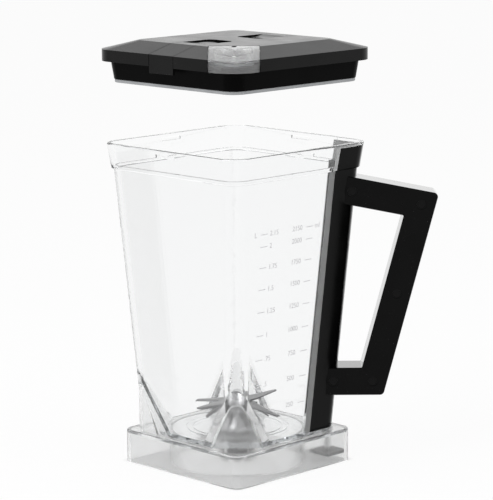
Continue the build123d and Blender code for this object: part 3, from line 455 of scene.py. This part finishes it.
CLEAR = clear_plastic()
CAP_CLEAR = cap_plastic()
HANDLE_BLACK = black_plastic("handle_black", 0.0016, 0.0026, rough=(0.14, 0.2), shine=0.08, glazed=True)
LID_BLACK = black_plastic("lid_black", 0.003, 0.0045, rough=(0.2, 0.26), shine=0.12)
PLUG_BLACK = black_plastic("plug_black", 0.001, 0.0016, rough=(0.3, 0.38), shine=0.03)
STEEL = brushed_steel("steel", tone=(0.62, 0.62, 0.63), rough=(0.2, 0.34))
BLADE_STEEL = brushed_steel("blade_steel", tone=(0.2, 0.2, 0.205), rough=(0.26, 0.36))
DARK_STEEL = brushed_steel("dark_steel", tone=(0.012, 0.012, 0.012), rough=(0.3, 0.4))
GREY_RUBBER = rubber("grey_rubber", dark=(0.30, 0.31, 0.32), light=(0.38, 0.39, 0.40))
INK = mark_ink("mark_ink", dark=(0.60, 0.60, 0.61), light=(0.72, 0.72, 0.73))

# Finish of each solid that isn't plain steel
FINISH = {
    "jar_body": CLEAR,
    "spout_cap": CAP_CLEAR,
    "handle_post": HANDLE_BLACK,
    "handle_half_front": HANDLE_BLACK,
    "handle_half_back": HANDLE_BLACK,
    "foot_plate": PLUG_BLACK,
    "drive_socket": HANDLE_BLACK,
    "clamp_nut": HANDLE_BLACK,
    "lid_cover": LID_BLACK,
    "lid_plug": PLUG_BLACK,
    "latch_front": LID_BLACK,
    "latch_back": LID_BLACK,
    "handle_screws": DARK_STEEL,
    "blade_upper": BLADE_STEEL,
    "blade_middle": BLADE_STEEL,
    "blade_lower": BLADE_STEEL,
    "lid_gasket": GREY_RUBBER,
    "floor_gasket": GREY_RUBBER,
    "spout_seal": GREY_RUBBER,
    "shaft_seal": GREY_RUBBER,
}
# Solids that get smooth shading, with the width by which their edges are rounded
SOFTENED = {
    "jar_body": 0.0,
    "spout_cap": 0.0,
    "handle_post": 0.6 * MM,
    "handle_half_front": 0.0,
    "handle_half_back": 0.0,
    "lid_cover": 1.2 * MM,
    "lid_plug": 0.6 * MM,
    "latch_front": 0.6 * MM,
    "latch_back": 0.6 * MM,
    "lid_gasket": 0.4 * MM,
}


def merged_copy(node):
    """Copy of a solid as one closed mesh, with its flats merged."""
    piece = bpy.data.objects.new(node + "_skin", frame["nodes"][node].data.copy())
    bpy.context.scene.collection.objects.link(piece)
    make_active(piece)
    bpy.ops.mesh.customdata_custom_splitnormals_clear()
    bpy.ops.object.mode_set(mode="EDIT")
    bpy.ops.mesh.select_all(action="SELECT")
    bpy.ops.mesh.remove_doubles(threshold=MERGE_GAP)
    bpy.ops.mesh.dissolve_limited(angle_limit=FLAT_ANGLE)
    bpy.ops.object.mode_set(mode="OBJECT")
    return piece


def stand_for(piece, node):
    """Gives a copy the solid's finish and lets it stand for the solid."""
    finish_with(piece, FINISH.get(node, STEEL))
    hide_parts(node)


def round_edges(piece, width):
    bpy.ops.object.modifier_add(type="BEVEL")
    bevel = piece.modifiers[-1]
    bevel.width = width
    bevel.segments = ROUND_STEPS
    bevel.limit_method = "ANGLE"
    bevel.angle_limit = SMOOTH_ANGLE
    bevel.harden_normals = False
    bpy.ops.object.modifier_apply(modifier=bevel.name)


def weigh_normals(piece):
    """Lets large faces lead the shading across the rounds beside them."""
    bpy.ops.object.modifier_add(type="WEIGHTED_NORMAL")
    weigh = piece.modifiers[-1]
    weigh.keep_sharp = True
    bpy.ops.object.modifier_apply(modifier=weigh.name)


def soften(node, width):
    """Smooth copy of a solid with its edges rounded, which stands for the solid."""
    piece = merged_copy(node)
    crisp = node in CRISP
    if crisp:
        bpy.ops.object.shade_smooth_by_angle(angle=CRISP_ANGLE, keep_sharp_edges=False)
    if width:
        round_edges(piece, width)
    bpy.ops.object.shade_smooth_by_angle(angle=SMOOTH_ANGLE, keep_sharp_edges=crisp)
    weigh_normals(piece)
    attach(piece, frame["nodes"][node]["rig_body"])
    stand_for(piece, node)


def bending_spring(node):
    """Leaf spring, cut across its length from the end of its flat foot to its tip, which stands for the
    solid.
    """
    piece = merged_copy(node)
    low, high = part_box(node)
    tip, foot = sorted((low.y, high.y), key=abs)
    bend = foot + (tip - foot) * SPRING_FOOT_SHARE
    bpy.ops.object.mode_set(mode="EDIT")
    for cut in range(SPRING_CUTS):
        bpy.ops.mesh.select_all(action="SELECT")
        place = bend + (tip - bend) * (cut + 1) / (SPRING_CUTS + 1)
        bpy.ops.mesh.bisect(plane_co=(0, place, 0), plane_no=(0, 1, 0))
    bpy.ops.object.mode_set(mode="OBJECT")
    bpy.ops.object.shade_smooth_by_angle(angle=SMOOTH_ANGLE, keep_sharp_edges=False)
    stand_for(piece, node)
    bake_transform(piece)


def dress_solids():
    for node, item in frame["nodes"].items():
        finish_with(item, FINISH.get(node, STEEL))
    for node, width in SOFTENED.items():
        soften(node, width)
    bending_spring("latch_spring_front")
    bending_spring("latch_spring_back")


def wall_half(height):
    """Half the side of the tapered body at a height."""
    return BODY_FOOT_HALF + WALL_SLOPE * (height - SKIRT_TOP)


def mark_height(volume):
    """Level that a volume in millilitres comes to: the inside widens evenly, as a stump of a pyramid."""
    taper = 2 * WALL_SLOPE
    floor_side = 2 * (wall_half(FLOOR_TOP) - JAR_WALL)
    filled = volume * MILLILITRE * CORNER_SHARE + DISPLACED
    side = (floor_side**3 + 3 * taper * filled) ** (1 / 3)
    return FLOOR_TOP + (side - floor_side) / taper


def on_wall(piece, across, height):
    """Moves a flat piece drawn in the XY plane onto the leaning +X wall."""
    turn = Matrix(((0, WALL_SLOPE, 1), (1, 0, 0), (0, 1, -WALL_SLOPE))).to_4x4()
    piece.data.transform(turn)
    piece.data.transform(Matrix.Translation((wall_half(height), across, height)))


def label(text, across, height, align="CENTER"):
    """Printed number or unit."""
    bpy.ops.object.text_add(location=(0, 0, 0))
    piece = bpy.context.active_object
    piece.data.body = text
    piece.data.size = DIGIT_SIZE
    piece.data.extrude = PRINT_THICKNESS
    piece.data.align_x = align
    piece.data.align_y = "CENTER"
    bpy.ops.object.convert(target="MESH")
    on_wall(piece, across, height)
    return piece


def tick(across, height):
    """Printed stroke at the level of a volume."""
    bpy.ops.mesh.primitive_cube_add(size=1, location=(0, 0, 0))
    piece = bpy.context.active_object
    piece.data.transform(Matrix.Diagonal((TICK_LENGTH, TICK_WIDTH, 2 * PRINT_THICKNESS, 1)))
    bpy.ops.object.mode_set(mode="EDIT")
    bpy.ops.mesh.select_all(action="SELECT")
    bpy.ops.mesh.bevel(offset=TICK_ROUND, segments=2)
    bpy.ops.object.mode_set(mode="OBJECT")
    on_wall(piece, across, height)
    return piece


def litres(volume):
    """Volume in litres with no nought before the point, such as .75."""
    return f"{volume / 1000:g}".lstrip("0")


def volume_marks():
    """Millilitres beside the handle, and litres towards the front corner, without the lowest mark."""
    deselect_all()
    marks = []
    for volume in VOLUMES:
        height = mark_height(volume)
        marks.append(tick(RIGHT_TICK_AT, height))
        marks.append(label(str(volume), RIGHT_LABEL_AT, height))
    for volume in VOLUMES[:-1]:
        height = mark_height(volume)
        marks.append(tick(LEFT_TICK_AT, height))
        marks.append(label(litres(volume), LEFT_LABEL_AT, height, "LEFT"))
    top = mark_height(VOLUMES[0])
    marks.append(label("ml", RIGHT_UNIT_AT, top))
    marks.append(label("L", LEFT_UNIT_AT, top))
    make_active(marks[0])
    for mark in marks:
        mark.select_set(True)
    bpy.ops.object.join()
    piece = bpy.context.active_object
    piece.name = "volume_marks"
    finish_with(piece, INK)
    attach(piece, "jar")


def off_or_through(tree, path):
    """1 for a ray that comes off a glossy surface or through a clear one."""
    return calc(tree, "MAXIMUM", path["Is Glossy Ray"], path["Is Transmission Ray"])


def studio_world():
    """White for the camera, a plain level of light, and a bright low band and dim ceiling in gloss."""
    world = bpy.data.worlds.new("studio")
    bpy.context.scene.world = world
    world.use_nodes = True
    world.cycles.sampling_method = "NONE"
    tree = world.node_tree
    tree.nodes.clear()
    output = tree.nodes.new("ShaderNodeOutputWorld")
    path = tree.nodes.new("ShaderNodeLightPath").outputs
    upward = axes(tree, "Generated")["Z"]
    ceiling = fade(tree, upward, *CEILING_FADE, WHITE, CEILING)
    band = fade(tree, upward, *BAND_FADE, BAND, WHITE)
    mirrored = calc(tree, "MULTIPLY", ceiling, band)
    seen = choose(tree, path["Is Glossy Ray"], ceiling, mirrored)
    lit = choose(tree, off_or_through(tree, path), DAYLIGHT, seen)
    level = choose(tree, path["Is Camera Ray"], lit, WHITE)
    glow = tree.nodes.new("ShaderNodeBackground")
    set_plain(glow.inputs, {"Color": PURE_WHITE})
    tree.links.new(level, glow.inputs["Strength"])
    tree.links.new(glow.outputs["Background"], output.inputs["Surface"])


def floor_whiteness(tree):
    """How white the floor is seen: full in the open, greyer under the skirt, less grey inside its ring; the
    greyer zones are painted shade under the jar, over its real shadow.
    """
    place = axes(tree, "Object")
    sideways = [calc(tree, "ABSOLUTE", place[axis]) for axis in "XY"]
    away = calc(tree, "MAXIMUM", *sideways)
    radius = hypotenuse(tree, sideways)
    # Lower whiteness under the skirt and inside the ring: painted shade where the jar stands
    under = fade(tree, radius, RING_RADIUS - RING_FADE, RING_RADIUS, PAINTED_SHADE_INSIDE_RING, PAINTED_SHADE_UNDER_SKIRT)
    beside = fade(tree, away, SKIRT_INSIDE, SKIRT_HALF + SKIRT_FADE, 0, OPEN_FLOOR)
    return calc(tree, "MAXIMUM", under, beside)


def floor_white():
    """White where it is seen, less white under the jar as painted shade, and matt where light falls on it,
    so that it keeps a faint shadow.
    """
    material = bpy.data.materials.new("floor_white")
    material.use_nodes = True
    tree = material.node_tree
    tree.nodes.clear()
    output = tree.nodes.new("ShaderNodeOutputMaterial")
    diffuse = tree.nodes.new("ShaderNodeBsdfDiffuse")
    set_plain(diffuse.inputs, {"Color": FLOOR_TONE})
    glow = tree.nodes.new("ShaderNodeEmission")
    set_plain(glow.inputs, {"Color": PURE_WHITE, "Strength": WHITE})
    path = tree.nodes.new("ShaderNodeLightPath").outputs
    seen = calc(tree, "MAXIMUM", path["Is Camera Ray"], off_or_through(tree, path))
    mix = tree.nodes.new("ShaderNodeMixShader")
    # The whiteness is lowered under the jar, which paints shade there on top of the real shadow of the
    # diffuse part
    tree.links.new(calc(tree, "MULTIPLY", seen, floor_whiteness(tree)), mix.inputs["Fac"])
    tree.links.new(diffuse.outputs["BSDF"], mix.inputs[1])
    tree.links.new(glow.outputs["Emission"], mix.inputs[2])
    tree.links.new(mix.outputs["Shader"], output.inputs["Surface"])
    return material


def pale_floor():
    bpy.ops.mesh.primitive_plane_add(size=FLOOR_SIZE, location=(0, 0, CAD_BOX[0].z - FLOOR_DROP))
    floor = bpy.context.active_object
    floor.name = "floor"
    floor.data.materials.append(floor_white())


def outward(azimuth, elevation):
    """Direction away from the object, by degrees round from -Y and degrees above level."""
    round_by = radians(azimuth)
    up_by = radians(elevation)
    return Vector((sin(round_by) * cos(up_by), -cos(round_by) * cos(up_by), sin(up_by)))


def softbox(name, azimuth, elevation, distance, side, power):
    """Large soft lamp aimed at the middle of the photograph."""
    lamp = bpy.data.lights.new(name, "AREA")
    lamp.shape = "SQUARE"
    lamp.size = side
    lamp.energy = power
    holder = bpy.data.objects.new(name, lamp)
    bpy.context.scene.collection.objects.link(holder)
    out = outward(azimuth, elevation)
    holder.location = PHOTO_AIM + out * distance
    holder.rotation_euler = out.to_track_quat("Z", "Y").to_euler()


def photo_camera():
    """Camera at the photograph's viewing angle, rolled a little as the photograph is."""
    data = bpy.data.cameras.new("photo_camera")
    data.lens = LENS
    data.sensor_width = SENSOR
    camera = bpy.data.objects.new("photo_camera", data)
    bpy.context.scene.collection.objects.link(camera)
    back = outward(PHOTO_AZIMUTH, PHOTO_ELEVATION)
    camera.location = PHOTO_AIM + back * PHOTO_DISTANCE
    aim = back.to_track_quat("Z", "Y").to_matrix()
    roll = Euler((0, 0, -radians(PHOTO_ROLL))).to_matrix()
    camera.rotation_euler = (aim @ roll).to_euler()
    bpy.context.scene.camera = camera


dress_solids()
volume_marks()
studio_world()
pale_floor()
softbox("key_light", azimuth=-10, elevation=48, distance=1.6, side=1.2, power=14)
softbox("fill_light", azimuth=110, elevation=40, distance=1.8, side=1.2, power=8)
photo_camera()
bpy.context.scene.view_settings.view_transform = "Standard"
bpy.context.scene.cycles.max_bounces = LIGHT_BOUNCES
bpy.context.scene.cycles.transmission_bounces = LIGHT_BOUNCES
bpy.context.scene.cycles.glossy_bounces = GLOSS_BOUNCES
